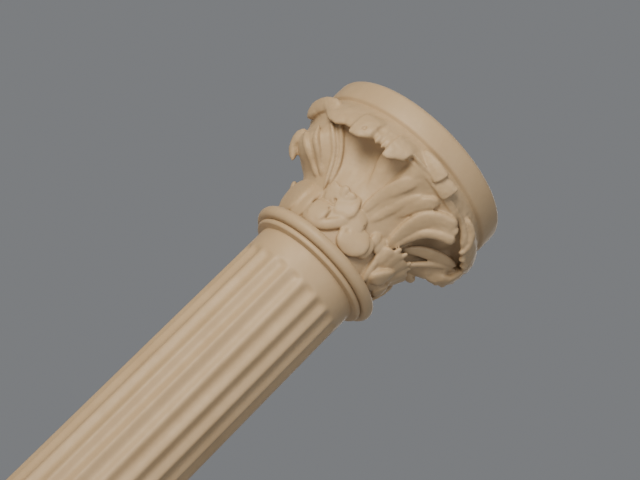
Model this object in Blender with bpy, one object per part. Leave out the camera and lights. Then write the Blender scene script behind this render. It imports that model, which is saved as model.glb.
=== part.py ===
"""Corinthian pedestal column, cast in one piece.

A round moulded base carries a fluted shaft. A ring ends the shaft, and above it the capital has a low
tier of curled leaves, four big leaves whose lips curl over, and a round plain top.
All sizes are in metres. The column stands on the plane z = 0, with its axis on the Z axis.
"""
import math

import bmesh
import bpy

# Heights of the stretches of the column, from the floor up.
BASE_HEIGHT = 0.0290
SHAFT_LENGTH = 0.2002
BEAD_HEIGHT = 0.0024
RING_HEIGHT = 0.0053
BELL_HEIGHT = 0.0500
TOP_THICKNESS = 0.0131

# Radii, and how far each moulding stands proud of the shaft.
SHAFT_RADIUS = 0.0250
PLINTH_RADIUS = 0.0490
TOP_RADIUS = 0.0450
BEAD_PROUD = 0.0033
RING_PROUD = 0.0064
LOW_LEAF_PROUD = 0.0048
LIP_PROUD = 0.0016

# Base mouldings.
PLINTH_THICKNESS = 0.0090
LOWER_ROLL_INSET = 0.0030
LOWER_ROLL_HEIGHT = 0.0085
UPPER_ROLL_PROUD = 0.0092
UPPER_ROLL_HEIGHT = 0.0052
FOOT_FLARE_HEIGHT = 0.0040
EDGE_ROUND = 0.0008
TOP_STEP = 0.0013

# Flutes of the shaft.
FLUTE_COUNT = 20
FLUTE_DEPTH = 0.0014
FLUTE_END = 0.0030
FLUTE_FOOT_GAP = 0.0030
NECK_HEIGHT = 0.0102
FLUTE_AZIMUTH = math.radians(3.0)

# Big leaves of the capital. Offsets are shares, from -1 to 1, of the way to where two leaves meet.
LEAF_COUNT = 4
LEAF_AZIMUTH = math.radians(-42.0)
PALM_LEFT = -0.42
PALM_RIGHT = 0.58
PALM_EDGE_BLUR = 0.22
LEAF_VALLEY = 0.0050
FOLD_OFFSETS = (-0.90, -0.58, 0.66, 0.90)
FOLD_WIDTH = 0.09
FOLD_HEIGHT = 0.0030
LIP_LOBES = 7
LIP_LOBE_DEPTH = 0.0026
LIP_GAP_LIFT = 0.0060

# Low leaves: a wide one with a slit beside each big leaf, and a small bulb between two wide ones.
WIDE_LEAF_AZIMUTH = math.radians(-26.0)
WIDE_LEAF_SPREAD = math.radians(21.0)
WIDE_LEAF_SLIT = 0.0016
BULB_AZIMUTH = math.radians(6.0)
BULB_SPREAD = math.radians(15.0)

# Fineness of the surface: columns of faces in one flute.
COLUMNS_PER_FLUTE = 5

# Outlines of the capital, as shares: how far out from the bell's foot to the lip, and how far up the bell.
PALM_OUTLINE = (
    (0.10, 0.44), (0.14, 0.57), (0.22, 0.72), (0.38, 0.86), (0.64, 0.91), (0.80, 0.86),
    (0.87, 0.765), (0.95, 0.745), (1.00, 0.80), (1.00, 0.90), (0.86, 0.985),
)
SIDE_OUTLINE = (
    (0.18, 0.44), (0.38, 0.49), (0.62, 0.56), (0.76, 0.65), (0.76, 0.73), (0.70, 0.77),
    (0.76, 0.775), (0.88, 0.765), (0.97, 0.81), (1.00, 0.90), (0.86, 0.985),
)
LIP_FIRST = 5
LIP_LAST = 8
WIDE_LEAF_OUTLINE = ((0.10, 0.05), (0.80, 0.07), (0.95, 0.16), (0.80, 0.27), (1.05, 0.36), (0.75, 0.42))
BULB_OUTLINE = ((0.08, 0.06), (0.70, 0.09), (1.0, 0.18), (1.0, 0.28), (0.70, 0.36), (0.40, 0.41))
BARE_OUTLINE = ((0.0, 0.045), (0.03, 0.10), (0.08, 0.18), (0.18, 0.26), (0.30, 0.34), (0.42, 0.41))

SHAFT_TOP = BASE_HEIGHT + SHAFT_LENGTH
RING_FOOT = SHAFT_TOP + BEAD_HEIGHT
BELL_FOOT = RING_FOOT + RING_HEIGHT
TOP_FOOT = BELL_FOOT + BELL_HEIGHT
TOTAL_HEIGHT = TOP_FOOT + TOP_THICKNESS


def clear_scene():
    """Remove every object of the scene."""
    for old in list(bpy.data.objects):
        bpy.data.objects.remove(old, do_unlink=True)


def smooth_step(low, high, value):
    """Rise smoothly from 0 at low to 1 at high."""
    share = min(max((value - low) / (high - low), 0.0), 1.0)
    return share * share * (3.0 - 2.0 * share)


def roll(outer_radius, foot, height, bulge, steps):
    """Give the outline of a half round moulding, from its foot up."""
    points = []
    for step in range(steps + 1):
        turn = math.pi * (step / steps - 0.5)
        radius = outer_radius - bulge * (1.0 - math.cos(turn))
        points.append((radius, foot + height * 0.5 * (1.0 + math.sin(turn))))
    return points


def base_outline():
    """Give the base's outline: plinth, lower roll, hollow, upper roll."""
    lower_radius = PLINTH_RADIUS - LOWER_ROLL_INSET
    upper_radius = SHAFT_RADIUS + UPPER_ROLL_PROUD
    lower_top = PLINTH_THICKNESS + LOWER_ROLL_HEIGHT
    upper_foot = BASE_HEIGHT - UPPER_ROLL_HEIGHT
    points = [
        (PLINTH_RADIUS, 0.0),
        (PLINTH_RADIUS, PLINTH_THICKNESS - EDGE_ROUND),
        (PLINTH_RADIUS - EDGE_ROUND, PLINTH_THICKNESS),
    ]
    points += roll(lower_radius, PLINTH_THICKNESS, LOWER_ROLL_HEIGHT, LOWER_ROLL_HEIGHT * 0.5, 3)
    drop = upper_foot - lower_top
    hollow_start = lower_radius - LOWER_ROLL_HEIGHT * 0.5
    for share in (0.4, 0.8):
        radius = upper_radius + (hollow_start - upper_radius) * (1.0 - share) ** 2
        points.append((radius - UPPER_ROLL_HEIGHT * 0.3, lower_top + drop * share))
    points += roll(upper_radius, upper_foot, UPPER_ROLL_HEIGHT, UPPER_ROLL_HEIGHT * 0.5, 2)
    return points


def flute_fade(height):
    """Say how deep the flutes are at a height, from 0 at their round ends to 1."""
    foot = BASE_HEIGHT + FOOT_FLARE_HEIGHT + FLUTE_FOOT_GAP
    top = SHAFT_TOP - NECK_HEIGHT
    reach = min(height - foot, top - height) / FLUTE_END
    reach = min(max(reach, 0.0), 1.0)
    return math.sqrt(1.0 - (1.0 - reach) ** 2)


def shaft_heights():
    """List the heights where the shaft has a row of points."""
    foot = BASE_HEIGHT + FOOT_FLARE_HEIGHT + FLUTE_FOOT_GAP
    top = SHAFT_TOP - NECK_HEIGHT
    return [
        BASE_HEIGHT + FOOT_FLARE_HEIGHT, foot, foot + FLUTE_END * 0.3, foot + FLUTE_END,
        top - FLUTE_END, top - FLUTE_END * 0.3, top, SHAFT_TOP,
    ]


def shaft_radius(height, azimuth):
    """Give the fluted shaft's radius at a height, in one direction."""
    wave = 0.5 * (1.0 - math.cos(FLUTE_COUNT * (azimuth - FLUTE_AZIMUTH)))
    return SHAFT_RADIUS - FLUTE_DEPTH * wave * flute_fade(height)


def ring_outline():
    """Give the outline of the bead and the big ring above the shaft."""
    points = roll(SHAFT_RADIUS + BEAD_PROUD, SHAFT_TOP, BEAD_HEIGHT, BEAD_HEIGHT * 0.5, 2)
    points += roll(SHAFT_RADIUS + RING_PROUD, RING_FOOT, RING_HEIGHT, RING_HEIGHT * 0.6, 4)
    return points


def offset_from(azimuth, first, count):
    """Give the share, from -1 to 1, of the way from the nearest of count marks to its neighbours' middle."""
    pitch = 2.0 * math.pi / count
    return ((azimuth - first + pitch * 0.5) % pitch - pitch * 0.5) / (pitch * 0.5)


def fullness(azimuth, first, spread):
    """Say how full a low leaf is in one direction, from 0 beside it to 1 at its middle, and where it is."""
    pitch = math.pi / LEAF_COUNT
    across = offset_from(azimuth, first, LEAF_COUNT) * pitch / spread
    return 1.0 - smooth_step(0.62, 1.0, abs(across)), across


def low_tier_column(azimuth):
    """Give the outline of the low leaves in one direction."""
    wide, across = fullness(azimuth, WIDE_LEAF_AZIMUTH, WIDE_LEAF_SPREAD)
    bulb, _ = fullness(azimuth, BULB_AZIMUTH, BULB_SPREAD)
    slit = WIDE_LEAF_SLIT * max(0.0, 1.0 - abs(across) / 0.2)
    points = []
    for index, bare in enumerate(BARE_OUTLINE):
        reach, lift = bare
        for share, leaf in ((wide, WIDE_LEAF_OUTLINE), (bulb, BULB_OUTLINE)):
            reach += (leaf[index][0] - reach) * share
            lift += (leaf[index][1] - lift) * share
        radius = SHAFT_RADIUS + LOW_LEAF_PROUD * reach
        if 0 < index < len(BARE_OUTLINE) - 2:
            radius -= slit
        points.append((radius, BELL_FOOT + BELL_HEIGHT * lift))
    return points


def fold_height(offset):
    """Say how far the ridges that run up a big leaf's sides stand out at an offset across it."""
    height = 0.0
    for place in FOLD_OFFSETS:
        height += FOLD_HEIGHT * math.exp(-((offset - place) / FOLD_WIDTH) ** 2)
    return height


def side_share(offset):
    """Say how much of the side outline a big leaf has at an offset, from 0 in its hollow palm to 1."""
    blur = PALM_EDGE_BLUR
    right = smooth_step(PALM_RIGHT - blur, PALM_RIGHT + blur, offset)
    left = 1.0 - smooth_step(PALM_LEFT - blur, PALM_LEFT + blur, offset)
    return max(left, right)


def big_leaf_column(azimuth):
    """Give the outline of the big leaves in one direction, from their root to the top's underside."""
    offset = offset_from(azimuth, LEAF_AZIMUTH, LEAF_COUNT)
    across = abs(offset)
    side = side_share(offset)
    valley = LEAF_VALLEY * max(0.0, 1.0 - (1.0 - across) / 0.08)
    lobe = abs(math.sin(math.pi * LIP_LOBES * (offset + 1.0) * 0.5)) ** 0.7
    gap_lift = LIP_GAP_LIFT * smooth_step(0.80, 1.0, across)
    span = TOP_RADIUS + LIP_PROUD - SHAFT_RADIUS
    points = []
    for index, (palm, flank) in enumerate(zip(PALM_OUTLINE, SIDE_OUTLINE)):
        radius = SHAFT_RADIUS + span * (palm[0] + (flank[0] - palm[0]) * side)
        height = BELL_FOOT + BELL_HEIGHT * (palm[1] + (flank[1] - palm[1]) * side)
        if 0 < index < LIP_FIRST:
            radius += fold_height(offset) * index / LIP_FIRST - valley
        if LIP_FIRST <= index <= LIP_LAST:
            height += gap_lift - LIP_LOBE_DEPTH * (lobe - 0.6)
            radius -= valley
        points.append((radius, height))
    return points


def top_outline():
    """Give the outline of the plain round top, from the step under it up."""
    return [
        (TOP_RADIUS - TOP_STEP, TOP_FOOT),
        (TOP_RADIUS, TOP_FOOT + TOP_STEP),
        (TOP_RADIUS, TOTAL_HEIGHT - 2.0 * EDGE_ROUND),
        (TOP_RADIUS - 2.0 * EDGE_ROUND, TOTAL_HEIGHT),
    ]


def column_outline(azimuth):
    """Give the whole outline in one direction, as points of radius and height from the floor up."""
    points = list(base_outline())
    points += [(shaft_radius(height, azimuth), height) for height in shaft_heights()]
    points += ring_outline()
    points += low_tier_column(azimuth)
    points += big_leaf_column(azimuth)
    points += top_outline()
    return points


def build_column_mesh():
    """Sweep the outline round the axis, letting it change with direction, and close both ends."""
    mesh = bpy.data.meshes.new("column")
    grid = bmesh.new()
    columns = FLUTE_COUNT * COLUMNS_PER_FLUTE
    strips = []
    for index in range(columns):
        azimuth = 2.0 * math.pi * index / columns + FLUTE_AZIMUTH
        strip = []
        for radius, height in column_outline(azimuth):
            place = (radius * math.sin(azimuth), -radius * math.cos(azimuth), height)
            strip.append(grid.verts.new(place))
        strips.append(strip)
    for index, strip in enumerate(strips):
        neighbour = strips[(index + 1) % columns]
        for row in range(len(strip) - 1):
            grid.faces.new((strip[row], neighbour[row], neighbour[row + 1], strip[row + 1]))
    grid.faces.new([strip[0] for strip in reversed(strips)])
    grid.faces.new([strip[-1] for strip in strips])
    bmesh.ops.recalc_face_normals(grid, faces=grid.faces)
    bmesh.ops.triangulate(grid, faces=grid.faces)
    grid.to_mesh(mesh)
    grid.free()
    mesh.shade_smooth()
    mesh.set_sharp_from_angle(angle=math.radians(50.0))
    return mesh


def cast_material():
    """Make the ivory cast finish."""
    material = bpy.data.materials.new("cast_resin")
    material.use_nodes = True
    shader = material.node_tree.nodes["Principled BSDF"]
    shader.inputs["Base Color"].default_value = (0.62, 0.50, 0.36, 1.0)
    shader.inputs["Roughness"].default_value = 0.55
    shader.inputs["Metallic"].default_value = 0.0
    return material


def main():
    """Build the column."""
    clear_scene()
    mesh = build_column_mesh()
    mesh.materials.append(cast_material())
    column = bpy.data.objects.new("column", mesh)
    bpy.context.scene.collection.objects.link(column)


main()
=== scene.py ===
"""Looks of the corinthian pedestal column, a small cast column with a leafy capital.

The column stands upright on a pale floor. The camera is turned on its own axis, so that the column
crosses the picture from the lower left to the upper right.
"""
from __future__ import annotations

import logging
import math
from dataclasses import dataclass
from enum import Enum

import bmesh
import bpy
import numpy as np
from mathutils import Matrix, Vector, noise


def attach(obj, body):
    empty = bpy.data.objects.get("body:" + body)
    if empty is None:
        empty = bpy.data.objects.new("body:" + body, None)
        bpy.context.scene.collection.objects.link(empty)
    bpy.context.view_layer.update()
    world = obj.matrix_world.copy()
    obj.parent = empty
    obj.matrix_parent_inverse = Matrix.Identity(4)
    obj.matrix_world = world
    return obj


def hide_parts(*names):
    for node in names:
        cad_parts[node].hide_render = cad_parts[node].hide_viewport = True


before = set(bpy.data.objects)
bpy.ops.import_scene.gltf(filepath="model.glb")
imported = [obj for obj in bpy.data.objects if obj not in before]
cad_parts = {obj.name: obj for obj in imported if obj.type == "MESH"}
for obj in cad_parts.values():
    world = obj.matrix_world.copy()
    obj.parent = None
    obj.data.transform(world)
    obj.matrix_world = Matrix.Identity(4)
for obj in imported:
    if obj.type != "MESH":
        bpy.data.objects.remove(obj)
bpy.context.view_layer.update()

LOG = logging.getLogger("column")
MM = 0.001
NODE = "column"
BODY = "root"

# Lengths in mm. Heights in the capital count from the ring's middle.
RING_MIDDLE = 234.5
SHAFT_RADIUS = 25.0
TOP_RADIUS = 45.0
# Radius where a turned outline starts and ends, in place of the axis itself.
NEAR_AXIS = 0.01
SHARP_ANGLE = math.radians(60.0)


class Ending(Enum):
    """How a tongue of leaf ends: the share of its length over which its end narrows."""

    ROUND = 0.30
    BLUNT = 0.08


def smooth_path(points: np.ndarray, count: int) -> np.ndarray:
    """Draw a smooth curve through points, with a Catmull-Rom spline.

    Args:
        points: the points, first axis along the curve.
        count: how many points to return.

    Returns:
        The curve's points, in the same shape apart from the first axis.
    """
    points = np.asarray(points, float)
    padded = np.concatenate([2 * points[:1] - points[1:2], points, 2 * points[-1:] - points[-2:-1]])
    along = np.linspace(0.0, len(points) - 1.0, count)
    start = np.minimum(along.astype(int), len(points) - 2)
    share = (along - start).reshape((-1,) + (1,) * (points.ndim - 1))
    before, here, after, beyond = (padded[start + step] for step in range(4))
    return 0.5 * (
        2 * here
        + (after - before) * share
        + (2 * before - 5 * here + 4 * after - beyond) * share ** 2
        + (3 * here - before - 3 * after + beyond) * share ** 3
    )


def polar(turn: np.ndarray, radius: np.ndarray, height: np.ndarray) -> np.ndarray:
    """Turn directions in degrees, radii and heights into points; 0 degrees faces -Y, 90 faces +X."""
    angle = np.radians(turn)
    return np.stack([radius * np.sin(angle), -radius * np.cos(angle), height], axis=-1)


def new_mesh(name: str, points: np.ndarray, faces: list) -> bpy.types.Mesh:
    """Make a mesh from points in mm.

    Args:
        name: the mesh's name.
        points: the points, one row each.
        faces: the faces, as lists of point numbers.

    Returns:
        The mesh, in metres and shaded smooth.
    """
    mesh = bpy.data.meshes.new(name)
    mesh.from_pydata((np.asarray(points) * MM).tolist(), [], faces)
    mesh.validate()
    mesh.shade_smooth()
    return mesh


def new_object(name: str, mesh: bpy.types.Mesh) -> bpy.types.Object:
    """Put a mesh in the scene as an object at the origin."""
    made = bpy.data.objects.new(name, mesh)
    bpy.context.scene.collection.objects.link(made)
    return made


def swept_faces(columns: int, rows: int, first: int = 0) -> list:
    """List the faces of a closed tube of points whose columns go round and whose rows go along.

    Args:
        columns: points in one row.
        rows: number of rows.
        first: number of the tube's first point.

    Returns:
        The faces, with both ends closed.
    """
    faces = []
    for row in range(rows - 1):
        for column in range(columns):
            beside = (column + 1) % columns
            low, high = first + row * columns, first + (row + 1) * columns
            faces.append((low + column, low + beside, high + beside, high + column))
    faces.append([first + column for column in reversed(range(columns))])
    faces.append([first + (rows - 1) * columns + column for column in range(columns)])
    return faces


def baked(holder: bpy.types.Object) -> bpy.types.Mesh:
    """Turn an object with its modifiers into a plain mesh, and remove the object.

    Args:
        holder: the object, with its modifiers still live.

    Returns:
        The mesh that its modifiers give.
    """
    bpy.context.view_layer.update()
    graph = bpy.context.evaluated_depsgraph_get()
    mesh = bpy.data.meshes.new_from_object(holder.evaluated_get(graph))
    old = holder.data
    bpy.data.objects.remove(holder, do_unlink=True)
    bpy.data.meshes.remove(old)
    return mesh


class NodeTree:
    """A small helper that adds nodes to a tree and joins them."""

    def __init__(self, tree: bpy.types.NodeTree) -> None:
        """Keep the tree that nodes are added to."""
        self.tree = tree

    def add(self, kind: str, **settings: object) -> bpy.types.Node:
        """Add one node.

        Args:
            kind: the node's type.
            settings: properties to set on it.

        Returns:
            The new node.
        """
        node = self.tree.nodes.new(kind)
        for key, value in settings.items():
            setattr(node, key, value)
        return node

    def feed(self, socket: bpy.types.NodeSocket, value: object) -> None:
        """Join another socket to a socket, or set its own value."""
        if isinstance(value, bpy.types.NodeSocket):
            self.tree.links.new(value, socket)
        else:
            socket.default_value = value

    def math(self, operation: str, *values: object) -> bpy.types.NodeSocket:
        """Add one Math node.

        Args:
            operation: what it works out.
            values: sockets or numbers to work with.

        Returns:
            Its result.
        """
        node = self.add("ShaderNodeMath", operation=operation)
        for socket, value in zip(node.inputs, values):
            self.feed(socket, value)
        return node.outputs[0]


def geometry_tree(name: str, inputs: dict) -> tuple:
    """Start a Geometry Nodes tree with named inputs.

    Args:
        name: the tree's name.
        inputs: socket type of each named input, after the geometry.

    Returns:
        The helper, the input node and the output node.
    """
    tree = bpy.data.node_groups.new(name, "GeometryNodeTree")
    tree.interface.new_socket("Geometry", in_out="INPUT", socket_type="NodeSocketGeometry")
    for label, kind in inputs.items():
        tree.interface.new_socket(label, in_out="INPUT", socket_type=kind)
    tree.interface.new_socket("Geometry", in_out="OUTPUT", socket_type="NodeSocketGeometry")
    helper = NodeTree(tree)
    return helper, helper.add("NodeGroupInput"), helper.add("NodeGroupOutput")


def run_tree(holder: bpy.types.Object, tree: bpy.types.NodeTree, values: dict) -> bpy.types.Mesh:
    """Run a Geometry Nodes tree on an object.

    Args:
        holder: the object whose mesh goes in; it is removed.
        tree: the tree.
        values: the value of each named input.

    Returns:
        The plain mesh that comes out.
    """
    modifier = holder.modifiers.new(tree.name, "NODES")
    modifier.node_group = tree
    sockets = {s.name: s.identifier for s in tree.interface.items_tree if s.in_out == "INPUT"}
    for label, value in values.items():
        modifier[sockets[label]] = value
    return baked(holder)


def end_tree(
    nodes: NodeTree,
    geometry: bpy.types.NodeSocket,
    finish: bpy.types.NodeSocket,
    out: bpy.types.Node,
) -> None:
    """End a Geometry Nodes tree: make its copies real, set the material and give the result."""
    real = nodes.add("GeometryNodeRealizeInstances")
    nodes.feed(real.inputs["Geometry"], geometry)
    paint = nodes.add("GeometryNodeSetMaterial")
    nodes.feed(paint.inputs["Geometry"], real.outputs[0])
    nodes.feed(paint.inputs["Material"], finish)
    nodes.feed(out.inputs[0], paint.outputs[0])


@dataclass(frozen=True)
class CastResin:
    """The warm ivory finish of the cast: matte satin, faintly translucent, with painted shade that darkens
    its creases.

    Lengths are in metres and the scales of the patterns per metre.
    """

    light: tuple = (0.56, 0.415, 0.255, 1.0)
    deep: tuple = (0.51, 0.370, 0.22, 1.0)
    # Colour of the painted shade, mixed in where ambient occlusion finds creases and hollows.
    crease_shade: tuple = (0.30, 0.215, 0.135, 1.0)
    roughness: float = 0.50
    glow: float = 0.06
    glow_depth: float = 0.0022
    crease_reach: float = 0.006
    cloud_scale: float = 38.0
    mottle_scale: float = 210.0
    grain_scale: float = 620.0
    prick_scale: float = 150.0

    def material(self) -> bpy.types.Material:
        """Build the material.

        Returns:
            A node material that reads Object coordinates only.
        """
        made = bpy.data.materials.new("cast_resin_ivory")
        made.use_nodes = True
        nodes = NodeTree(made.node_tree)
        shader = made.node_tree.nodes["Principled BSDF"]
        place = nodes.add("ShaderNodeTexCoord").outputs["Object"]
        clouds = self._noise(nodes, place, self.cloud_scale, 4.0)
        mottle = self._noise(nodes, place, self.mottle_scale, 3.0)
        tone = nodes.math("ADD", nodes.math("MULTIPLY", clouds, 0.7), nodes.math("MULTIPLY", mottle, 0.3))
        body = self._mix(nodes, self._band(nodes, tone, 0.35, 0.65), self.light, self.deep)
        # Painted shade: ambient occlusion darkens the colour in creases and hollows and makes them a little
        # rougher.
        hollow = nodes.add("ShaderNodeAmbientOcclusion", samples=8)
        hollow.inputs["Distance"].default_value = self.crease_reach
        occlusion_shade = self._band(nodes, hollow.outputs["AO"], 0.85, 0.25)
        crease_shaded_colour = self._mix(nodes, nodes.math("MULTIPLY", occlusion_shade, 0.45), body, self.crease_shade)
        nodes.feed(shader.inputs["Base Color"], crease_shaded_colour)
        grain = self._noise(nodes, place, self.grain_scale, 2.0)
        rough = nodes.math("ADD", nodes.math("MULTIPLY", mottle, 0.16), self.roughness - 0.08)
        nodes.feed(shader.inputs["Roughness"], nodes.math("ADD", rough, nodes.math("MULTIPLY", occlusion_shade, 0.1)))
        shader.inputs["Subsurface Weight"].default_value = self.glow
        shader.inputs["Subsurface Scale"].default_value = self.glow_depth
        shader.inputs["Subsurface Radius"].default_value = (1.0, 0.78, 0.55)
        shader.inputs["IOR"].default_value = 1.5
        nodes.feed(shader.inputs["Normal"], self._relief(nodes, place, grain, clouds))
        return made

    @staticmethod
    def _noise(
        nodes: NodeTree, place: bpy.types.NodeSocket, scale: float, detail: float
    ) -> bpy.types.NodeSocket:
        """Add a noise pattern of a scale per metre and give its value."""
        node = nodes.add("ShaderNodeTexNoise")
        nodes.feed(node.inputs["Vector"], place)
        node.inputs["Scale"].default_value = scale
        node.inputs["Detail"].default_value = detail
        return node.outputs[0]

    @staticmethod
    def _band(nodes: NodeTree, value: bpy.types.NodeSocket, low: float, high: float) -> bpy.types.NodeSocket:
        """Stretch a value so that low gives 0 and high gives 1."""
        node = nodes.add("ShaderNodeMapRange")
        nodes.feed(node.inputs["Value"], value)
        node.inputs["From Min"].default_value = low
        node.inputs["From Max"].default_value = high
        return node.outputs[0]

    @staticmethod
    def _mix(
        nodes: NodeTree, share: bpy.types.NodeSocket, first: object, second: object
    ) -> bpy.types.NodeSocket:
        """Mix two colours by a share and give the result."""
        node = nodes.add("ShaderNodeMix", data_type="RGBA")
        nodes.feed(node.inputs[0], share)
        nodes.feed(node.inputs[6], first)
        nodes.feed(node.inputs[7], second)
        return node.outputs[2]

    def _relief(
        self,
        nodes: NodeTree,
        place: bpy.types.NodeSocket,
        grain: bpy.types.NodeSocket,
        clouds: bpy.types.NodeSocket,
    ) -> bpy.types.NodeSocket:
        """Give the fine relief: a soft grain, slow waves and a few pin pricks left by air bubbles.

        Args:
            nodes: the tree's helper.
            place: the Object coordinates.
            grain: the fine noise.
            clouds: the slow noise.

        Returns:
            The normal.
        """
        cells = nodes.add("ShaderNodeTexVoronoi", feature="F1")
        nodes.feed(cells.inputs["Vector"], place)
        cells.inputs["Scale"].default_value = self.prick_scale
        pricks = self._band(nodes, cells.outputs["Distance"], 0.02, 0.06)
        waves = nodes.add("ShaderNodeBump")
        waves.inputs["Strength"].default_value = 0.35
        waves.inputs["Distance"].default_value = 0.0012
        nodes.feed(waves.inputs["Height"], clouds)
        fine = nodes.add("ShaderNodeBump")
        fine.inputs["Strength"].default_value = 0.22
        fine.inputs["Distance"].default_value = 0.00025
        nodes.feed(fine.inputs["Height"], nodes.math("ADD", grain, nodes.math("MULTIPLY", pricks, 0.5)))
        nodes.feed(fine.inputs["Normal"], waves.outputs["Normal"])
        return fine.outputs["Normal"]


def dress(piece: bpy.types.Object, finish: bpy.types.Material) -> None:
    """Give a piece its finish, tie it to the body, and hide the solid that it stands for."""
    piece.data.materials.clear()
    piece.data.materials.append(finish)
    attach(piece, BODY)
    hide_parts(NODE)
    LOG.info("%s: %d faces", piece.name, len(piece.data.polygons))


@dataclass
class Turning:
    """A plain round moulding, turned from an outline of radius and height in mm."""

    name: str
    outline: tuple
    columns: int = 256
    wobble: float = 0.10
    wobble_scale: float = 0.06

    def build(self, finish: bpy.types.Material) -> bpy.types.Object:
        """Turn the outline into a closed piece.

        Args:
            finish: the material.

        Returns:
            The piece.
        """
        outline = np.array(self.outline)
        turn = np.arange(self.columns) * 360.0 / self.columns
        radius = np.repeat(outline[:, :1], self.columns, axis=1)
        height = np.repeat(outline[:, 1:], self.columns, axis=1)
        points = polar(turn[None, :], radius, height).reshape(-1, 3)
        points = self._uneven(points)
        mesh = new_mesh(self.name, points, swept_faces(self.columns, len(outline)))
        mesh.set_sharp_from_angle(angle=SHARP_ANGLE)
        piece = new_object(self.name, mesh)
        dress(piece, finish)
        return piece

    def _uneven(self, points: np.ndarray) -> np.ndarray:
        """Press the surface in a little here and there, as a hand cast is."""
        for point in points:
            if math.hypot(point[0], point[1]) < 1.0:
                continue
            dent = 0.5 + 0.5 * noise.noise(Vector(point) * self.wobble_scale)
            shrink = 1.0 - self.wobble * dent / math.hypot(point[0], point[1])
            point[0] *= shrink
            point[1] *= shrink
        return points


def half_roll(radius: float, foot: float, height: float, bulge: float, steps: int = 14) -> list:
    """Give the outline of a half round moulding.

    Args:
        radius: its widest radius.
        foot: height of its lower edge.
        height: how tall it is.
        bulge: how far its middle stands out from its edges.
        steps: how many stretches the arc has.

    Returns:
        Points of radius and height, from the foot up.
    """
    points = []
    for step in range(steps + 1):
        angle = math.pi * (step / steps - 0.5)
        points.append((radius - bulge * (1 - math.cos(angle)), foot + height * 0.5 * (1 + math.sin(angle))))
    return points


@dataclass
class Mouldings:
    """The round mouldings in mm: the base, the ring with its bead, and the plain round top."""

    base_height: float = 29.0
    plinth_radius: float = 49.0
    plinth_thickness: float = 9.0
    edge: float = 0.8
    flare: float = 4.0
    lower_roll: tuple = (46.0, 8.5)
    upper_roll: tuple = (34.2, 5.2)
    bead: tuple = (28.3, 2.4)
    ring: tuple = (31.4, 5.3)
    shaft_top: float = 229.2
    top_foot: float = 286.9
    top_height: float = 300.0
    top_step: float = 1.3
    top_round: float = 2.6

    def base_outline(self) -> list:
        """Give the base's outline, from the underside up into the shaft."""
        lower_radius, lower_height = self.lower_roll
        upper_radius, upper_height = self.upper_roll
        lower_top = self.plinth_thickness + lower_height
        upper_foot = self.base_height - upper_height
        edge = self.edge
        points = [(NEAR_AXIS, 0.0), (self.plinth_radius - edge * 0.5, 0.0)]
        points += half_roll(self.plinth_radius, 0.0, self.plinth_thickness, edge * 0.5, 10)
        points += half_roll(lower_radius, self.plinth_thickness, lower_height, lower_height * 0.5)
        hollow_start = lower_radius - lower_height * 0.5
        drop = upper_foot - lower_top
        for step in range(1, 12):
            share = step / 12.0
            radius = upper_radius + (hollow_start - upper_radius) * (1.0 - share) ** 2 - 1.6 * share
            points.append((radius, lower_top + drop * share))
        points += half_roll(upper_radius, upper_foot, upper_height, upper_height * 0.5)
        for step in range(1, 11):
            share = step / 10.0
            radius = SHAFT_RADIUS + (upper_radius - upper_height * 0.5 - SHAFT_RADIUS) * (1.0 - share) ** 3
            points.append((radius, self.base_height + self.flare * share))
        inside = self.base_height + self.flare + 0.2
        points += [(SHAFT_RADIUS - 2.0, inside), (NEAR_AXIS, inside)]
        return points

    def ring_outline(self) -> list:
        """Give the outline of the bead and the ring."""
        bead_radius, bead_height = self.bead
        ring_radius, ring_height = self.ring
        foot = self.shaft_top
        points = [(NEAR_AXIS, foot - 1.0), (SHAFT_RADIUS - 1.5, foot - 1.0), (SHAFT_RADIUS + 0.4, foot - 0.2)]
        points += half_roll(bead_radius, foot, bead_height, bead_height * 0.35)
        points += half_roll(ring_radius, foot + bead_height, ring_height, ring_height * 0.42, 20)
        inside = foot + bead_height + ring_height + 0.4
        points += [(SHAFT_RADIUS, inside), (NEAR_AXIS, inside)]
        return points

    def top_outline(self) -> list:
        """Give the outline of the round top, with the small step under its rim."""
        foot, height, bend = self.top_foot, self.top_height, self.top_round
        inner = TOP_RADIUS - self.top_step
        points = [(NEAR_AXIS, foot - 1.0), (inner - 1.2, foot - 1.0), (inner - 0.5, foot - 0.3)]
        points += [(inner - 0.3, foot + 0.9), (inner, foot + 1.5)]
        points += [(TOP_RADIUS - self.top_step * 0.45, foot + 1.9), (TOP_RADIUS - 0.22, foot + 2.5)]
        points += [(TOP_RADIUS, foot + 3.4), (TOP_RADIUS, height - bend)]
        for turn in range(15, 91, 15):
            angle = math.radians(turn)
            points.append((TOP_RADIUS - bend * (1 - math.cos(angle)), height - bend * (1 - math.sin(angle))))
        points.append((NEAR_AXIS, height))
        return points

    def build(self, finish: bpy.types.Material) -> None:
        """Turn the three pieces."""
        Turning("base", tuple(self.base_outline())).build(finish)
        Turning("ring", tuple(self.ring_outline())).build(finish)
        Turning("round_top", tuple(self.top_outline()), wobble=0.06).build(finish)


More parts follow.
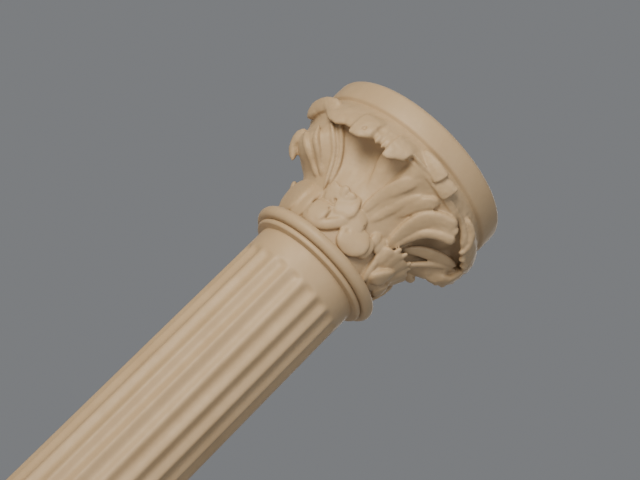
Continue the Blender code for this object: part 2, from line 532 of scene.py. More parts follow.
@dataclass
class FlutedShaft:
    """The shaft, made by Geometry Nodes: a tube whose wall is pushed in along each flute. Sizes in mm."""

    foot: float = 32.5
    top: float = 229.6
    flute_foot: float = 36.0
    flute_top: float = 219.0
    flute_end: float = 3.6
    flutes: int = 20
    depth: float = 1.5
    first_ridge: float = 3.0
    columns: int = 320
    rows: int = 130
    squeeze: float = 0.86
    fullness: float = 0.8
    wear_scale: float = 26.0

    def tree(self) -> bpy.types.NodeTree:
        """Build the tree that makes a fluted tube.

        Returns:
            The tree, with its sizes as named inputs.
        """
        names = ("Radius", "Foot", "Top", "Flute Foot", "Flute Top", "Flute End", "Depth", "First Ridge")
        kinds = {name: "NodeSocketFloat" for name in names}
        kinds.update({"Flutes": "NodeSocketInt", "Columns": "NodeSocketInt", "Rows": "NodeSocketInt"})
        kinds["Finish"] = "NodeSocketMaterial"
        nodes, given, out = geometry_tree("fluted_shaft", kinds)
        size = given.outputs
        length = nodes.math("SUBTRACT", size["Top"], size["Foot"])
        tube = nodes.add("GeometryNodeMeshCylinder")
        nodes.feed(tube.inputs["Vertices"], size["Columns"])
        nodes.feed(tube.inputs["Side Segments"], size["Rows"])
        nodes.feed(tube.inputs["Radius"], size["Radius"])
        nodes.feed(tube.inputs["Depth"], length)
        place = nodes.add("GeometryNodeInputPosition").outputs[0]
        parts = nodes.add("ShaderNodeSeparateXYZ")
        nodes.feed(parts.inputs[0], place)
        along = nodes.math("ADD", nodes.math("DIVIDE", parts.outputs[2], length), 0.5)
        swing = nodes.math("SINE", nodes.math("MULTIPLY", along, 2.0 * math.pi))
        eased = nodes.math("SUBTRACT", along, nodes.math("MULTIPLY", swing, self.squeeze / (2.0 * math.pi)))
        height = nodes.math("ADD", nodes.math("MULTIPLY", eased, length), size["Foot"])
        angle = nodes.math("ARCTAN2", parts.outputs[0], nodes.math("MULTIPLY", parts.outputs[1], -1.0))
        phase = nodes.math("MULTIPLY", nodes.math("SUBTRACT", angle, size["First Ridge"]), size["Flutes"])
        wave = nodes.math("SUBTRACT", 0.5, nodes.math("MULTIPLY", nodes.math("COSINE", phase), 0.5))
        shaped = nodes.math("POWER", nodes.math("MAXIMUM", wave, 0.0), self.fullness)
        from_foot = nodes.math("SUBTRACT", height, size["Flute Foot"])
        from_top = nodes.math("SUBTRACT", size["Flute Top"], height)
        reach = nodes.math("DIVIDE", nodes.math("MINIMUM", from_foot, from_top), size["Flute End"])
        held = nodes.math("MINIMUM", nodes.math("MAXIMUM", reach, 0.0), 1.0)
        fall = nodes.math("POWER", nodes.math("SUBTRACT", 1.0, held), 2.0)
        fade = nodes.math("SQRT", nodes.math("SUBTRACT", 1.0, fall))
        uneven = nodes.add("ShaderNodeTexNoise")
        nodes.feed(uneven.inputs["Vector"], place)
        uneven.inputs["Scale"].default_value = self.wear_scale
        uneven.inputs["Detail"].default_value = 1.0
        worn = nodes.math("ADD", nodes.math("MULTIPLY", uneven.outputs[0], 0.5), 0.75)
        push = nodes.math("MULTIPLY", nodes.math("MULTIPLY", shaped, fade), size["Depth"])
        push = nodes.math("MULTIPLY", push, worn)
        shrink = nodes.math("SUBTRACT", 1.0, nodes.math("DIVIDE", push, size["Radius"]))
        moved = nodes.add("ShaderNodeCombineXYZ")
        nodes.feed(moved.inputs[0], nodes.math("MULTIPLY", parts.outputs[0], shrink))
        nodes.feed(moved.inputs[1], nodes.math("MULTIPLY", parts.outputs[1], shrink))
        nodes.feed(moved.inputs[2], height)
        bend = nodes.add("GeometryNodeSetPosition")
        nodes.feed(bend.inputs["Geometry"], tube.outputs["Mesh"])
        nodes.feed(bend.inputs["Position"], moved.outputs[0])
        smooth = nodes.add("GeometryNodeSetShadeSmooth")
        nodes.feed(smooth.inputs["Geometry"], bend.outputs[0])
        end_tree(nodes, smooth.outputs[0], size["Finish"], out)
        return nodes.tree

    def build(self, finish: bpy.types.Material) -> bpy.types.Object:
        """Run the tree and dress the result.

        Args:
            finish: the material.

        Returns:
            The shaft.
        """
        values = {
            "Radius": SHAFT_RADIUS * MM, "Foot": self.foot * MM, "Top": self.top * MM,
            "Flute Foot": self.flute_foot * MM, "Flute Top": self.flute_top * MM,
            "Flute End": self.flute_end * MM, "Depth": self.depth * MM,
            "First Ridge": math.radians(self.first_ridge), "Flutes": self.flutes,
            "Columns": self.columns, "Rows": self.rows, "Finish": finish,
        }
        holder = new_object("shaft_holder", bpy.data.meshes.new("shaft_holder"))
        mesh = run_tree(holder, self.tree(), values)
        mesh.set_sharp_from_angle(angle=SHARP_ANGLE)
        piece = new_object("fluted_shaft", mesh)
        dress(piece, finish)
        return piece


@dataclass(frozen=True)
class Tongue:
    """One tongue of leaf: a rounded strip along a path, with an optional dished face.

    Each place on the path is a direction in degrees, then radius, height, half width and half depth in mm.
    The root is the share of its length over which it starts to swell. The drop is how far its face looks
    down for each 1 that it looks outward, and a lower fullness makes its section boxier.
    """

    path: tuple
    dish: float = 0.0
    ending: Ending = Ending.ROUND
    rings: int = 30
    sides: int = 18
    root: float = 0.15
    drop: float = 0.6
    fullness: float = 0.7

    def solid(self) -> tuple:
        """Build the strip.

        Returns:
            Its points in mm and its faces.
        """
        path = smooth_path(np.array(self.path), self.rings)
        turn = path[:, 0]
        spine = polar(turn, path[:, 1], path[:, 2] + RING_MIDDLE)
        tangent = np.gradient(spine, axis=0)
        tangent /= np.linalg.norm(tangent, axis=1, keepdims=True)
        outward = polar(turn, np.ones(len(turn)), np.full(len(turn), -self.drop))
        face = outward - tangent * np.sum(outward * tangent, axis=1, keepdims=True)
        face /= np.linalg.norm(face, axis=1, keepdims=True)
        side = np.cross(tangent, face)
        angle = np.arange(self.sides) * 2.0 * math.pi / self.sides
        across, depth = np.cos(angle), np.sin(angle)
        depth = np.sign(depth) * np.abs(depth) ** self.fullness
        sunk = self.dish * np.maximum(depth, 0.0) * (1.0 - np.abs(across) ** 1.5)
        share = np.linspace(0.0, 1.0, self.rings)
        to_end = np.minimum(share / self.root, (1.0 - share) / self.ending.value)
        swell = np.sqrt(1.0 - (1.0 - np.clip(to_end, 0.02, 1.0)) ** 2)[:, None, None]
        wide = side[:, None, :] * (across[None, :] * path[:, 3:4])[..., None]
        deep = face[:, None, :] * ((depth - sunk)[None, :] * path[:, 4:5])[..., None]
        points = spine[:, None, :] + swell * (wide + deep)
        return points.reshape(-1, 3), swept_faces(self.sides, self.rings)


# Directions are in degrees from the front, over the half turn that holds two big leaves. Lengths in mm.
# How far the leaves stand out at each direction: 0 is the hollow palm, 1 the pillar between two leaves.
LEAF_SECTION = (
    (-87, 1.0), (-72, 0.98), (-64, 0.94), (-57, 0.86), (-51, 0.68), (-46, 0.42), (-41, 0.17), (-36, 0.06),
    (-28, 0.0), (-21, 0.06), (-15, 0.26), (-11, 0.34), (-7, 0.40), (-4.5, 0.46), (-1, 0.90), (3, 1.0),
    (7, 0.96), (11, 0.90), (16, 0.86), (22, 0.84), (27, 0.86), (31, 0.94), (35, 0.94), (37, 0.80),
    (40, 0.54), (44, 0.38), (50, 0.32), (56, 0.42), (62, 0.60), (67, 0.72), (72, 0.78), (78, 0.84),
    (84, 0.92), (88, 1.0), (93, 1.0),
)
# How far the bell follows the low shelf, over the whole turn: at the swept corner and the broken flap.
SHELF_SECTION = (
    (-180, 0.0), (-104, 0.0), (-96, 0.24), (-90, 0.60), (-84, 0.86), (-78, 0.98), (-67, 1.0), (-61, 0.88),
    (-55, 0.52), (-49, 0.16), (-45, 0.0), (64, 0.0), (68, 0.46), (72, 0.82), (77, 0.95), (82, 0.80),
    (86, 0.42), (91, 0.0), (180, 0.0),
)
# Where the lip draws back into the bell, over the whole turn: behind the swept corner.
DRAWN_BACK = ((-180, 0.0), (-126, 0.0), (-119, 0.8), (-112, 1.0), (-90, 1.0), (-84, 0.0), (180, 0.0))
# The lip at each direction: height of its ragged lower edge and radius of its face.
LIP = (
    (-87, 44.8, 45.4), (-72, 44.8, 45.4), (-67, 44.2, 45.4), (-62, 42.2, 45.8), (-58, 40.2, 46.0),
    (-55, 39.4, 46.0), (-50, 38.8, 45.8), (-45, 40.3, 45.4), (-40, 40.2, 45.4), (-38.6, 39.4, 45.6),
    (-37.2, 37.2, 46.9), (-31, 37.4, 47.1), (-26.5, 39.6, 46.9), (-25, 41.4, 45.5), (-22.4, 39.6, 46.0),
    (-20.4, 41.4, 45.3), (-18.8, 39.4, 45.8), (-16.8, 41.2, 45.5), (-15.4, 37.2, 47.0),
    (-12.5, 37.2, 47.1), (-5.6, 41.4, 46.8), (-4.2, 45.4, 46.0), (0, 45.2, 45.6), (5, 45.1, 45.0),
    (12, 45.0, 44.6), (38, 45.0, 44.4), (42, 44.6, 44.6), (46, 43.2, 45.2), (51, 40.8, 45.9),
    (58, 39.8, 46.4), (66, 39.6, 46.6), (74, 39.4, 46.8), (84, 41.2, 46.6), (89, 44.2, 45.8),
    (93, 44.8, 45.4),
)
# Parts of the two big leaves, made as tongues of leaf.
BIG_LEAVES = (
    # Twin thin ridges beside the first palm.
    Tongue(((-45, 27.2, 19, 0.8, 0.8), (-49, 33.0, 29.6, 1.1, 1.1), (-51.5, 37.6, 34.6, 1.3, 1.3),
            (-57, 43.8, 40.2, 1.4, 1.3))),
    Tongue(((-43, 27.4, 22, 0.8, 0.8), (-46, 32.2, 31.4, 1.2, 1.0), (-50, 39.0, 38.6, 1.4, 1.2),
            (-52, 43.0, 42.0, 1.3, 1.2))),
    # Fold on the right of that palm.
    Tongue(((-8, 26.8, 22, 1.5, 0.9), (-9.5, 28.6, 29, 2.8, 1.2), (-12, 31.0, 35, 3.4, 1.5),
            (-15, 34.4, 40, 3.6, 1.6), (-18, 38.8, 43.6, 3.2, 1.5))),
    # Ridges of the pillar.
    Tongue(((-4, 26.4, 19.5, 1.4, 1.0), (-2.2, 30.8, 28.2, 2.4, 1.3), (1, 35.0, 33.8, 3.0, 1.5),
            (4, 38.9, 38.4, 3.2, 1.5), (8, 41.4, 41.8, 2.8, 1.2)), dish=0.1),
    Tongue(((7, 26.6, 20, 1.5, 0.8), (9.5, 30.2, 27, 2.0, 1.1), (12, 34.2, 33, 2.2, 1.2),
            (15, 38.2, 37.8, 2.0, 1.2), (17.5, 40.4, 40.4, 1.5, 0.9))),
    # Second tongue of the second leaf, with a round end.
    Tongue(((15, 29.4, 27, 1.8, 0.8), (17, 33.8, 32.4, 2.4, 1.2), (19, 38.0, 37.2, 2.8, 1.6),
            (22, 41.0, 40.8, 2.8, 1.7), (25, 42.2, 42.6, 2.3, 1.4)), dish=0.2),
    # Third tongue: a broad band and a lower ridge that share a blunt end, and the body between them.
    Tongue(((35, 26.8, 18.5, 1.8, 1.2), (31, 30.4, 25, 2.8, 1.5), (28.5, 34.6, 30.8, 3.6, 1.8),
            (29, 38.4, 35.8, 3.8, 1.9), (33.5, 42.0, 39.8, 3.4, 2.1), (40.5, 45.4, 42.2, 2.9, 2.0)),
           dish=0.1, ending=Ending.BLUNT),
    Tongue(((37, 26.8, 19.0, 1.3, 1.2), (36, 32.0, 27.0, 1.8, 1.6), (36, 37.0, 32.0, 2.0, 1.8),
            (40, 41.4, 35.8, 2.2, 2.0), (46.5, 45.6, 38.6, 2.4, 2.1)), ending=Ending.BLUNT),
    Tongue(((33, 37.6, 34.6, 3.0, 1.4), (38, 42.0, 38.4, 3.0, 1.6), (44, 45.4, 40.4, 3.0, 1.7)),
           ending=Ending.BLUNT),
    # Two flaps that overlap like tiles.
    Tongue(((-3, 43.6, 50.8, 2.0, 1.2), (3, 45.2, 49.8, 2.8, 1.5), (9, 46.6, 48.6, 3.3, 1.6),
            (14.5, 47.2, 47.4, 3.5, 1.6)), ending=Ending.BLUNT),
    Tongue(((8, 43.4, 48, 2.8, 1.3), (13, 44.8, 47.4, 3.4, 1.5), (19, 46.0, 47, 4.0, 1.6),
            (23.5, 46.6, 46.8, 4.1, 1.6)), ending=Ending.BLUNT),
    # Soft swelling that joins the lip to the bell under the two flaps.
    Tongue(((-3, 43.9, 45.6, 1.1, 0.9), (6, 44.1, 45.4, 1.5, 1.0), (20, 44.1, 45.2, 1.5, 1.0),
            (34, 44.0, 45.2, 1.4, 1.0), (41, 43.8, 45.4, 1.0, 0.9))),
    # Broad low band across the second palm.
    Tongue(((46, 28.6, 24.0, 1.6, 1.0), (52, 32.2, 28.8, 2.6, 1.3), (59, 36.2, 32.6, 3.0, 1.5),
            (66, 39.8, 35.6, 3.0, 1.6), (73, 43.6, 38.4, 2.6, 1.5)), dish=0.1),
    # Rim strip of the second leaf's lip.
    Tongue(((40, 44.0, 48.2, 1.1, 1.1), (45, 46.0, 48.0, 1.3, 1.3), (50, 47.0, 46.6, 1.5, 1.3),
            (54.5, 47.2, 43.6, 1.6, 1.4), (56, 46.8, 40.4, 1.5, 1.4), (55, 46.2, 38.2, 1.4, 1.3))),
)
# Small leaves round the neck, over the same half turn.
LOW_LEAVES = (
    # Soft lobes on the left.
    Tongue(((-72, 26.4, 21.5, 7.0, 1.5), (-74, 27.0, 14, 9.4, 2.0), (-77, 25.4, 3, 8.0, 1.6)), dish=0.2),
    Tongue(((-54, 25.8, 20.5, 4.4, 1.2), (-56, 26.2, 12.5, 5.6, 1.6), (-52, 24.8, 3, 4.6, 1.4)), dish=0.2),
    # Wide leaf: its rolled lower edge, its body and two coin shaped lobes.
    Tongue(((-44, 25.6, 10, 1.6, 1.1), (-40, 26.0, 5.8, 2.0, 1.3), (-30, 26.2, 4.6, 2.2, 1.4),
            (-20.5, 26.3, 6.4, 2.3, 1.4), (-12.5, 26.6, 10.4, 2.3, 1.4), (-8, 27.0, 15, 2.1, 1.4),
            (-6.5, 27.2, 19.5, 1.6, 1.2))),
    Tongue(((-26, 25.4, 21, 6.5, 1.4), (-25, 25.6, 14, 7.6, 1.7), (-23, 25.5, 8.0, 6.6, 1.6))),
    Tongue(((-32, 27.0, 15.0, 3.6, 1.3), (-31.5, 27.6, 9.8, 4.4, 1.5), (-30.5, 27.1, 4.6, 3.8, 1.3)),
           dish=0.3),
    Tongue(((-19.5, 27.4, 24.0, 4.2, 1.3), (-16.5, 27.9, 18.4, 5.4, 1.6), (-13.0, 27.3, 12.6, 4.4, 1.4)),
           dish=0.3),
    # Its upper edge with a row of small lobes, and a thin ridge on its left.
    Tongue(((-32, 26.8, 16, 4.2, 1.2), (-30, 28.2, 19.5, 5.2, 1.2), (-28, 29.2, 22.4, 5.4, 1.1)),
           ending=Ending.BLUNT),
    Tongue(((-35, 26.8, 15.6, 1.8, 1.1), (-34.5, 28.4, 19.4, 2.0, 1.2))),
    Tongue(((-31.5, 28.0, 19, 1.8, 1.1), (-31, 29.6, 23.0, 1.9, 1.2))),
    Tongue(((-26, 28.6, 20, 1.8, 1.1), (-25, 30.2, 24.6, 1.9, 1.2))),
    Tongue(((-19, 28.0, 20, 1.9, 1.1), (-17.5, 29.4, 24.0, 2.0, 1.2))),
    Tongue(((-12, 27.8, 18, 1.8, 1.1), (-10, 28.8, 21.6, 1.9, 1.2))),
    Tongue(((-41, 26.2, 5.6, 1.3, 1.0), (-40, 26.8, 10.0, 1.4, 1.1), (-38, 27.0, 14.6, 1.3, 1.0))),
    # Bulb between the wide leaf and the stem, with its thumb, its side lobe and two lumps beside it.
    Tongue(((5, 26.0, 16.4, 4.4, 1.5), (8, 26.9, 10.5, 7.0, 1.9), (13, 26.2, 3.8, 5.6, 1.6)), dish=0.2),
    Tongue(((2, 26.5, 12, 3.6, 1.5), (-1, 27.0, 17, 4.0, 1.8), (0.5, 26.9, 21.4, 3.2, 1.6)), dish=0.2),
    Tongue(((16, 26.6, 16.0, 2.8, 1.4), (20, 27.0, 11.5, 3.6, 1.6), (21, 26.4, 6.6, 3.0, 1.4))),
    Tongue(((20, 26.4, 20.5, 1.8, 1.3), (22, 27.0, 17, 2.2, 1.5), (24, 26.7, 14, 1.8, 1.3))),
    Tongue(((27, 26.4, 20.6, 1.7, 1.2), (29, 27.2, 17.4, 2.1, 1.5), (30, 26.8, 13.6, 1.7, 1.2))),
    # Stem and the body of the leaf behind it.
    Tongue(((46, 25.6, 3.0, 1.2, 1.1), (41, 26.2, 7.5, 1.5, 1.4), (36.5, 27.0, 13.0, 1.6, 1.5),
            (33.5, 28.4, 17.0, 1.5, 1.3), (32.5, 29.6, 19.6, 1.2, 1.0))),
    Tongue(((58, 25.8, 17, 5.4, 1.6), (55, 26.4, 10, 6.4, 1.9), (53, 25.8, 3.6, 5.0, 1.5))),
    # Torn flaring tip that the stem climbs to: its strips, then the thin teeth on their ends.
    Tongue(((42, 26.4, 11, 2.2, 1.2), (38.5, 28.6, 15.5, 2.6, 1.3), (36, 30.8, 19.8, 2.4, 1.1)),
           ending=Ending.BLUNT),
    Tongue(((48, 26.8, 12, 2.8, 1.3), (44.5, 29.4, 17, 3.2, 1.4), (42, 31.8, 21.8, 3.0, 1.2)),
           ending=Ending.BLUNT),
    Tongue(((57, 27.0, 13, 3.0, 1.4), (53.5, 29.8, 17.6, 3.4, 1.5), (51.5, 32.2, 22.0, 3.2, 1.2)),
           ending=Ending.BLUNT),
    Tongue(((66, 27.2, 13, 3.0, 1.4), (63.5, 29.8, 17.2, 3.4, 1.5), (62.5, 32.2, 21.0, 3.2, 1.2)),
           ending=Ending.BLUNT),
    Tongue(((76, 27.0, 14, 3.0, 1.4), (75, 29.4, 18.0, 3.2, 1.4), (75, 31.4, 21.4, 2.8, 1.1)),
           ending=Ending.BLUNT),
    Tongue(((39, 30.6, 19.4, 1.0, 0.9), (38, 32.4, 22.6, 1.0, 0.8))),
    Tongue(((45, 31.4, 20.4, 1.0, 0.9), (44.5, 33.2, 23.6, 1.0, 0.8))),
    Tongue(((55, 31.6, 20.4, 1.0, 0.9), (54.5, 33.4, 23.6, 1.0, 0.8))),
    Tongue(((60, 31.4, 20.0, 1.0, 0.9), (59.5, 33.2, 22.8, 1.0, 0.8))),
    # Two petals that hang from the tip.
    Tongue(((61, 27.8, 15.6, 2.6, 1.4), (54, 29.4, 12.2, 4.0, 1.9), (49, 28.6, 8.4, 3.6, 1.8),
            (48, 27.0, 5.2, 2.4, 1.3)), dish=0.2),
    Tongue(((72, 27.2, 14, 2.8, 1.4), (69, 28.4, 9.6, 3.8, 1.8), (65, 27.2, 5, 3.0, 1.4)), dish=0.2),
)
# Parts that stand on one side only: the swept curls and the hooked corner on the left, and the broken flap
# and a torn tip on the right.
SINGLES = (
    # Swept corner: two ridges on its underside and its outer roll.
    Tongue(((-61, 28.2, 22.5, 1.2, 0.9), (-64.5, 33.0, 25.2, 1.5, 1.2), (-65, 38.0, 26.9, 1.6, 1.3),
            (-68, 41.8, 29.6, 1.7, 1.4), (-74, 43.4, 34.0, 1.8, 1.2))),
    Tongue(((-55, 28.4, 23.5, 1.1, 0.9), (-58, 33.0, 26.4, 1.4, 1.1), (-58, 38.0, 28.6, 1.5, 1.2),
            (-60, 42.2, 31.6, 1.6, 1.3), (-64, 44.0, 37.6, 1.6, 1.1))),
    Tongue(((-78, 41.8, 34.6, 3.0, 1.7), (-83, 42.4, 32.4, 3.2, 2.2), (-86.5, 41.0, 29.0, 2.8, 2.2),
            (-86, 37.4, 23.8, 1.9, 1.6))),
    # Bright lobe above it, with its hooked tip.
    Tongue(((-57, 45.2, 47.2, 2.6, 1.5), (-65, 46.4, 47.0, 3.2, 1.9), (-74, 46.6, 46.4, 3.6, 2.1),
            (-82, 46.2, 44.8, 3.4, 2.3), (-87.5, 45.6, 42.4, 2.0, 2.0))),
    # Two beads under the rim strip.
    Tongue(((60, 46.4, 40.5, 1.6, 1.4), (62, 46.8, 38, 1.6, 1.4))),
    Tongue(((67, 46.8, 40.5, 1.7, 1.4), (69, 47.0, 38.4, 1.6, 1.4))),
    # Body behind the broken flap, which joins it to the bell.
    Tongue(((79, 40.4, 31.0, 2.8, 2.0), (82, 43.0, 35.0, 3.8, 2.7), (83, 44.2, 38.8, 4.2, 2.9),
            (84, 44.6, 43.0, 3.8, 2.5))),
    # Fold on the right of the second palm, ragged end of the broken flap, and a torn tip.
    Tongue(((60, 27.2, 18, 1.1, 1.0), (62, 31.4, 24.0, 1.4, 1.2), (65, 36.0, 29.6, 1.5, 1.3),
            (71, 40.4, 34.6, 1.7, 1.4), (79, 44.0, 38.8, 1.8, 1.4))),
    Tongue(((74, 37.0, 28.4, 3.0, 1.3), (78, 41.0, 30.4, 3.8, 1.5), (81, 44.0, 33.4, 4.0, 1.6),
            (82, 45.4, 37.6, 4.0, 1.6), (82, 46.0, 42.0, 3.6, 1.5)), ending=Ending.BLUNT),
    Tongue(((77, 40.4, 29.6, 1.7, 1.2), (83, 42.2, 29.8, 1.5, 1.1))),
    Tongue(((80, 42.8, 31.6, 1.7, 1.2), (86, 44.4, 32.2, 1.5, 1.1))),
    Tongue(((82, 44.6, 34.8, 1.7, 1.2), (88, 46.0, 36.4, 1.5, 1.1))),
    Tongue(((80, 29, 24.6, 1.5, 1.3), (83, 32, 23.8, 2.0, 1.6), (84, 34.4, 24.6, 1.6, 1.3))),
)
# Small hollows pressed into the surface: direction, radius and height of the place, then width and depth.
DENTS = (
    (-31, 47.8, 41.6, 1.3, 1.1), (-1, 28.9, 11.0, 1.7, 0.6), (-26.8, 28.9, 16.8, 1.1, 1.4),
    (-25.6, 28.9, 15.0, 1.1, 1.5), (-24.8, 28.9, 13.2, 1.1, 1.4), (7.5, 28.6, 17.4, 1.1, 1.0),
    (-24, 47.6, 45.4, 2.2, 0.5), (-56, 47.2, 45.4, 2.4, 0.5), (73, 39.5, 30.5, 4.0, 0.9),
)


@dataclass
class Capital:
    """The leafy capital: a bell with hollow palms and a lip, and tongues of leaf on it. Sizes in mm.

    The palm, the pillar and the shelf are outlines of radius and height. Waves are given as scale and depth.
    """

    voxel: float = 0.42
    columns: int = 720
    rows: int = 200
    first: float = -87.0
    repeats: int = 2
    soften: int = 4
    triangle_limit: int = 190000
    slow_waves: tuple = (0.16, 0.20)
    fine_waves: tuple = (0.55, 0.07)
    fine_on_lips: float = 0.09
    palm: tuple = (
        (24.5, 1.0), (25.0, 8.0), (25.6, 15.0), (26.8, 20.0), (27.8, 24.0), (28.4, 28.0), (29.0, 32.0),
        (30.2, 36.0), (32.2, 40.0), (35.4, 43.6), (39.6, 45.2), (42.8, 44.0),
    )
    pillar: tuple = (
        (24.5, 1.0), (25.0, 8.0), (25.6, 15.0), (26.8, 19.0), (28.6, 23.0), (31.0, 27.0), (34.0, 31.0),
        (37.0, 35.0), (40.0, 38.6), (42.0, 41.4), (43.6, 43.4), (44.2, 44.6),
    )
    shelf: tuple = (
        (24.5, 1.0), (25.0, 8.0), (25.6, 15.0), (27.0, 19.5), (29.0, 23.0), (33.0, 25.2), (38.0, 26.8),
        (41.5, 29.4), (43.0, 33.0), (42.3, 37.0), (42.8, 41.0), (44.8, 44.2),
    )
    drawn_lip: tuple = (46.4, 44.6)
    lip_half: float = 1.3
    lip_shoulder: float = 47.4
    lip_root: tuple = (44.4, 51.2)
    lip_top: tuple = (43.0, 54.5)

    def outline(self, turn: np.ndarray) -> tuple:
        """Work out the bell's outline at each direction.

        Args:
            turn: directions in degrees.

        Returns:
            Radius and height, rows up the outline and columns across.
        """
        low = np.interp(turn, *zip(*SHELF_SECTION))
        drawn = np.interp(turn, *zip(*DRAWN_BACK))
        turn = (turn - self.first) % 180.0 + self.first
        share = np.interp(turn, *zip(*LEAF_SECTION))
        place, edges, faces = zip(*LIP)
        edge, face = np.interp(turn, place, edges), np.interp(turn, place, faces)
        edge += (self.drawn_lip[0] - edge) * drawn
        face += (self.drawn_lip[1] - face) * drawn
        lines = []
        for palm, pillar, shelf in zip(self.palm, self.pillar, self.shelf):
            line = [palm[axis] + (pillar[axis] - palm[axis]) * share for axis in (0, 1)]
            lines.append([line[axis] + (shelf[axis] - line[axis]) * low for axis in (0, 1)])
        half = self.lip_half
        flat = np.ones_like(turn)
        lines.append([face - half * 1.2, edge + 1.4])
        lines.append([face - half * 0.5, edge])
        lines.append([face + half * 0.5, edge + 0.4])
        lines.append([face + half, edge * 0.55 + self.lip_shoulder * 0.45])
        lines.append([face + half * 0.3, self.lip_shoulder * flat])
        lines.append([self.lip_root[0] * flat, self.lip_root[1] * flat])
        lines.append([self.lip_top[0] * flat, self.lip_top[1] * flat])
        line = smooth_path(np.array(lines), self.rows)
        return line[:, 0, :], line[:, 1, :]

    def bell(self) -> tuple:
        """Build the bell and the lips.

        Returns:
            Their points in mm and their faces.
        """
        turn = np.arange(self.columns) * 360.0 / self.columns - 180.0
        radius, height = self.outline(turn)
        points = polar(np.repeat(turn[None, :], self.rows, axis=0), radius, height + RING_MIDDLE)
        return points.reshape(-1, 3), swept_faces(self.columns, self.rows)

    @staticmethod
    def gathered(name: str, solids: list) -> bpy.types.Mesh:
        """Put several closed solids into one mesh.

        Args:
            name: the mesh's name.
            solids: points and faces of each solid.

        Returns:
            The mesh.
        """
        points, faces, first = [], [], 0
        for solid, around in solids:
            points.append(solid)
            faces += [[first + number for number in face] for face in around]
            first += len(solid)
        return new_mesh(name, np.concatenate(points), faces)

    def repeated(self, name: str, solids: list, count: int, finish: bpy.types.Material) -> bpy.types.Mesh:
        """Set copies of some solids round the axis.

        Args:
            name: the mesh's name.
            solids: points and faces of each solid.
            count: how many copies go round.
            finish: the material.

        Returns:
            One mesh with all the copies.
        """
        holder = new_object(name, self.gathered(name, solids))
        return run_tree(holder, self.ring_tree(), {"Count": count, "Finish": finish})

    def ring_tree(self) -> bpy.types.NodeTree:
        """Build the tree that sets copies of a leaf round the column's axis.

        Returns:
            The tree, with the number of copies and the material as named inputs.
        """
        kinds = {"Count": "NodeSocketInt", "Finish": "NodeSocketMaterial"}
        nodes, given, out = geometry_tree("ring_of_leaves", kinds)
        marks = nodes.add("GeometryNodeMeshLine")
        nodes.feed(marks.inputs["Count"], given.outputs["Count"])
        marks.inputs["Offset"].default_value = (0.0, 0.0, 0.0)
        step = nodes.math("DIVIDE", 2.0 * math.pi, given.outputs["Count"])
        turn = nodes.math("MULTIPLY", nodes.add("GeometryNodeInputIndex").outputs[0], step)
        angles = nodes.add("ShaderNodeCombineXYZ")
        nodes.feed(angles.inputs[2], turn)
        rotation = nodes.add("FunctionNodeEulerToRotation")
        nodes.feed(rotation.inputs[0], angles.outputs[0])
        copies = nodes.add("GeometryNodeInstanceOnPoints")
        nodes.feed(copies.inputs["Points"], marks.outputs[0])
        nodes.feed(copies.inputs["Instance"], given.outputs["Geometry"])
        nodes.feed(copies.inputs["Rotation"], rotation.outputs[0])
        end_tree(nodes, copies.outputs[0], given.outputs["Finish"], out)
        return nodes.tree

    def build(self, finish: bpy.types.Material) -> bpy.types.Object:
        """Lay the leaves on the bell, fuse everything and soften it.

        Args:
            finish: the material.

        Returns:
            The capital.
        """
        leaves = [part.solid() for part in BIG_LEAVES + LOW_LEAVES]
        halves = self.repeated("leaves_of_a_half", leaves, self.repeats, finish)
        singles = self.gathered("bell_and_single_parts", [self.bell()] + [part.solid() for part in SINGLES])
        whole = bmesh.new()
        for mesh in (halves, singles):
            whole.from_mesh(mesh)
            bpy.data.meshes.remove(mesh)
        mesh = bpy.data.meshes.new("leaves")
        whole.to_mesh(mesh)
        whole.free()
        joined = new_object("leaves", mesh)
        remesh = joined.modifiers.new("fuse", "REMESH")
        remesh.mode = "VOXEL"
        remesh.voxel_size = self.voxel * MM
        smooth = joined.modifiers.new("soften", "SMOOTH")
        smooth.iterations = self.soften
        smooth.factor = 0.5
        mesh = baked(joined)
        self._weather(mesh)
        rough = new_object("capital_rough", mesh)
        triangles = 2 * len(mesh.polygons)
        thin = rough.modifiers.new("thin", "DECIMATE")
        thin.ratio = min(1.0, self.triangle_limit / triangles)
        mesh = baked(rough)
        self._keep_largest(mesh)
        mesh.shade_smooth()
        piece = new_object("capital", mesh)
        dress(piece, finish)
        return piece

    @staticmethod
    def _keep_largest(mesh: bpy.types.Mesh) -> None:
        """Keep the one connected body, without the loose crumbs that the fusing leaves."""
        work = bmesh.new()
        work.from_mesh(mesh)
        bmesh.ops.dissolve_degenerate(work, edges=work.edges, dist=1e-7)
        bmesh.ops.triangulate(work, faces=work.faces)
        seen, parts = set(), []
        for start in work.verts:
            if start in seen:
                continue
            seen.add(start)
            part, waiting = [start], [start]
            while waiting:
                vertex = waiting.pop()
                for edge in vertex.link_edges:
                    other = edge.other_vert(vertex)
                    if other not in seen:
                        seen.add(other)
                        part.append(other)
                        waiting.append(other)
            parts.append(part)
        parts.sort(key=len)
        crumbs = [vertex for part in parts[:-1] for vertex in part]
        bmesh.ops.delete(work, geom=crumbs, context="VERTS")
        work.to_mesh(mesh)
        work.free()

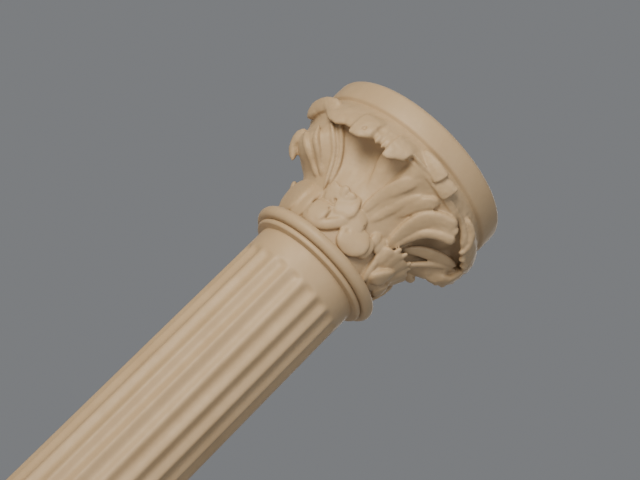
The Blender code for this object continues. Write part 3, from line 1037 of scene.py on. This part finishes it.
    def _weather(self, mesh: bpy.types.Mesh) -> None:
        """Press the small hollows in, and make the surface a little uneven, most of all along the lips."""
        count = len(mesh.vertices)
        flat, turned = np.empty(count * 3), np.empty(count * 3)
        mesh.vertices.foreach_get("co", flat)
        mesh.vertex_normals.foreach_get("vector", turned)
        points, normals = flat.reshape(-1, 3) / MM, turned.reshape(-1, 3)
        shift = np.zeros(count)
        for direction, radius, height, width, depth in DENTS:
            place = polar(direction, radius, height + RING_MIDDLE)
            reach = np.linalg.norm(points - place, axis=1) / width
            shift -= depth * np.clip(1.0 - reach ** 2, 0.0, 1.0)
        spread = np.clip((np.hypot(points[:, 0], points[:, 1]) - 40.0) / 4.0, 0.0, 1.0)
        slow = np.array([noise.noise(Vector(point) * self.slow_waves[0]) for point in points])
        fine = np.array([noise.noise(Vector(point) * self.fine_waves[0]) for point in points])
        shift += self.slow_waves[1] * slow + (self.fine_waves[1] + self.fine_on_lips * spread) * fine
        points += normals * shift[:, None]
        mesh.vertices.foreach_set("co", (points * MM).ravel())
        mesh.update()


@dataclass(frozen=True)
class Studio:
    """Floor, lights and camera. Lengths in metres, angles in degrees."""

    camera_place: tuple = (-0.00562, -0.5684, 0.0591)
    camera_tilt: float = 17.96
    camera_roll: float = 45.27
    lens: float = 80.67
    floor_radius: float = 1.6
    floor_sides: int = 96

    def camera(self) -> None:
        """Set the camera at the photograph's angle."""
        tilt, roll = math.radians(self.camera_tilt), math.radians(self.camera_roll)
        back = Vector((0.0, -math.cos(tilt), -math.sin(tilt)))
        level = Vector((1.0, 0.0, 0.0))
        rise = back.cross(level)
        right = level * math.cos(roll) + rise * math.sin(roll)
        data = bpy.data.cameras.new("camera")
        data.lens = self.lens
        data.sensor_width = 36.0
        data.clip_start = 0.01
        holder = bpy.data.objects.new("camera", data)
        matrix = Matrix((right, back.cross(right), back)).transposed().to_4x4()
        matrix.translation = Vector(self.camera_place)
        holder.matrix_world = matrix
        bpy.context.scene.collection.objects.link(holder)
        bpy.context.scene.camera = holder

    def floor(self) -> None:
        """Lay the pale floor."""
        sides = self.floor_sides
        turn = np.arange(sides) * 360.0 / sides
        points = polar(turn, np.full(sides, self.floor_radius / MM), np.full(sides, -0.05))
        floor = new_object("floor", new_mesh("floor", points, [list(range(sides))]))
        made = bpy.data.materials.new("floor_pale")
        made.use_nodes = True
        shader = made.node_tree.nodes["Principled BSDF"]
        shader.inputs["Base Color"].default_value = (0.62, 0.61, 0.60, 1.0)
        shader.inputs["Roughness"].default_value = 0.9
        floor.data.materials.append(made)

    def light(self, name: str, place: tuple, size: float, power: float, colour: tuple, spread: float) -> None:
        """Hang one soft square light that faces the capital.

        Args:
            name: its name.
            place: where it hangs.
            size: its width.
            power: its power in watts.
            colour: its colour.
            spread: the angle that its light fans out over.
        """
        data = bpy.data.lights.new(name, "AREA")
        data.size = size
        data.energy = power
        data.color = colour
        data.spread = math.radians(spread)
        holder = bpy.data.objects.new(name, data)
        holder.location = place
        facing = Vector((0.0, 0.0, RING_MIDDLE * MM)) - Vector(place)
        holder.rotation_euler = facing.to_track_quat("-Z", "Y").to_euler()
        bpy.context.scene.collection.objects.link(holder)

    def build(self) -> None:
        """Set up floor, lights, sky and camera."""
        self.floor()
        self.light("key", (-0.41, -0.60, 0.28), 0.34, 1.6, (1.0, 0.88, 0.70), 95.0)
        self.light("fill", (0.34, -1.0, 0.29), 0.50, 0.6, (1.0, 1.0, 1.0), 100.0)
        self.light("back", (0.10, 0.90, 0.80), 0.9, 2.0, (1.0, 0.95, 0.88), 115.0)
        world = bpy.data.worlds.new("studio")
        world.use_nodes = True
        sky = world.node_tree.nodes["Background"]
        sky.inputs["Color"].default_value = (0.61, 0.63, 0.66, 1.0)
        sky.inputs["Strength"].default_value = 0.33
        bpy.context.scene.world = world
        self.camera()


def main() -> None:
    """Build the column and the studio."""
    logging.basicConfig(level=logging.INFO, format="%(name)s: %(message)s")
    finish = CastResin().material()
    Mouldings().build(finish)
    FlutedShaft().build(finish)
    Capital().build(finish)
    Studio().build()


if __name__ == "__main__":
    main()
